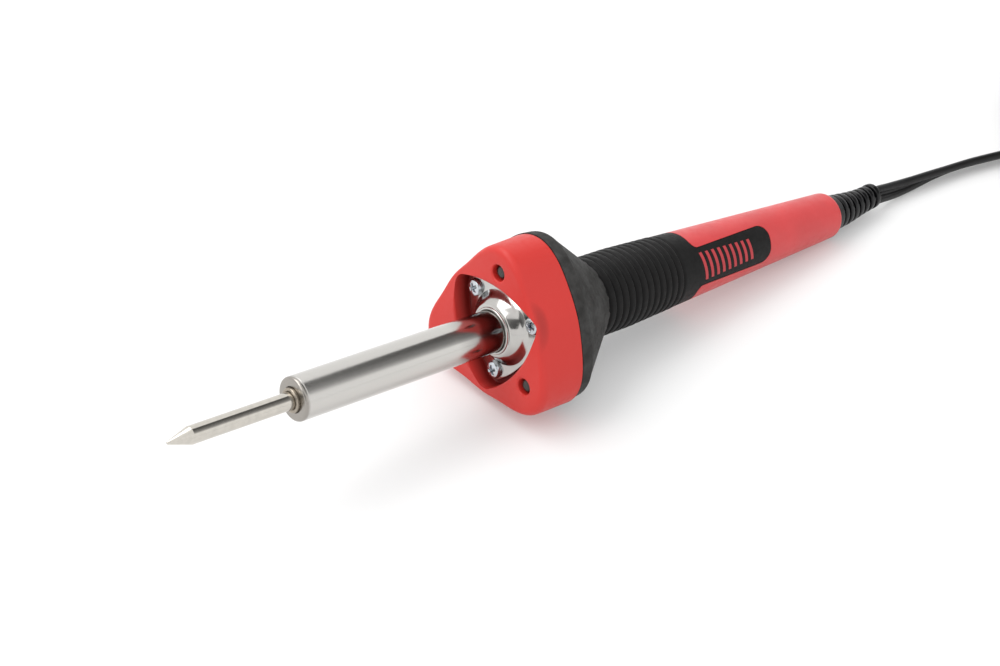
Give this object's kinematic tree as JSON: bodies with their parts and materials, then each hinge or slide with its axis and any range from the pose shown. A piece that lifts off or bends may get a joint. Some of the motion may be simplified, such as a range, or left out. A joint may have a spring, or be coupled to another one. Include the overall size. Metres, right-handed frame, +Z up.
{
  "type": "electric soldering iron",
  "caption": "Pencil soldering iron with a replaceable pointed tip, steel barrel, three-lobed lighted nose that doubles as a rest, ribbed soft grip, tapered handle and coiled mains cord",
  "frame": {"origin": "On the surface the iron rests on, under the middle of the iron's own box; the cord, its coil and the plug are left out of that box.", "axes": "+X runs along the iron from the tip to the cord, +Z is up with the top lamp highest, and the side of the handle that carries the soft tongue faces -Y and up."},
  "size_m": [0.3955, 0.0739, 0.0452],
  "materials": {
    "tip_plate": "satin iron and nickel plate",
    "barrel_steel": "fine brushed, semi-bright",
    "bright_steel": "mirror bright",
    "core_steel": "heat-dulled steel",
    "nichrome": "dull resistance alloy",
    "mica": "pale layered sheet",
    "ceramic": "unglazed white",
    "nose_red": "fine moulded texture, semi-matte",
    "handle_red": "fine moulded texture, semi-matte",
    "guard_rubber": "matte, faintly grained",
    "grip_rubber": "matte soft skin",
    "boot_vinyl": "glossy flexible vinyl",
    "cord_vinyl": "satin flexible vinyl",
    "lamp_lens": "smoked epoxy lens",
    "board": "solder-masked laminate",
    "resistor": "lacquered film body with bands",
    "diode": "moulded epoxy with a silver band",
    "lead_sleeve": "woven glass sleeving",
    "lamp_wire": "thin coloured insulation",
    "crimp": "insulated crimp sleeve",
    "core_insulation": "plain insulation",
    "blade_brass": "bright stamped"
  },
  "bodies": {
    "iron": {"heater_core": "core_steel", "mica_sleeve": "mica", "heater_winding": "nichrome", "insulating_sleeve": "ceramic", "barrel": "barrel_steel", "ceramic_bushing": "ceramic", "barrel_bracket": "bright_steel", "bracket_screw_1": "bright_steel", "bracket_screw_2": "bright_steel", "bracket_screw_3": "bright_steel", "nose": "nose_red", "lamp_1": "lamp_lens", "lamp_2": "lamp_lens", "lamp_3": "lamp_lens", "lamp_board": "board", "dropping_resistor": "resistor", "rectifier_diode": "diode", "guard": "guard_rubber", "grip": "grip_rubber", "handle": "handle_red", "strain_relief": "boot_vinyl", "heater_lead_right": "lead_sleeve", "heater_lead_left": "lead_sleeve", "lamp_wire_right": "lamp_wire", "lamp_wire_left": "lamp_wire", "crimp_connector_right": "crimp", "crimp_connector_left": "crimp", "cord_core_right": "core_insulation", "cord_core_left": "core_insulation", "cord_lead": "cord_vinyl", "cord_coil": "cord_vinyl", "coil_tie": "cord_vinyl", "cord_tail": "cord_vinyl", "plug_body": "cord_vinyl", "plug_blade_1": "blade_brass", "plug_blade_2": "blade_brass"},
    "tip": {"tip": "tip_plate"}
  },
  "joints": [
    {"name": "tip_withdrawal", "type": "slide", "parent": "iron", "child": "tip", "axis": [-0.9942, 0, 0.1075], "range_m": [0, 0.018]}
  ]
}
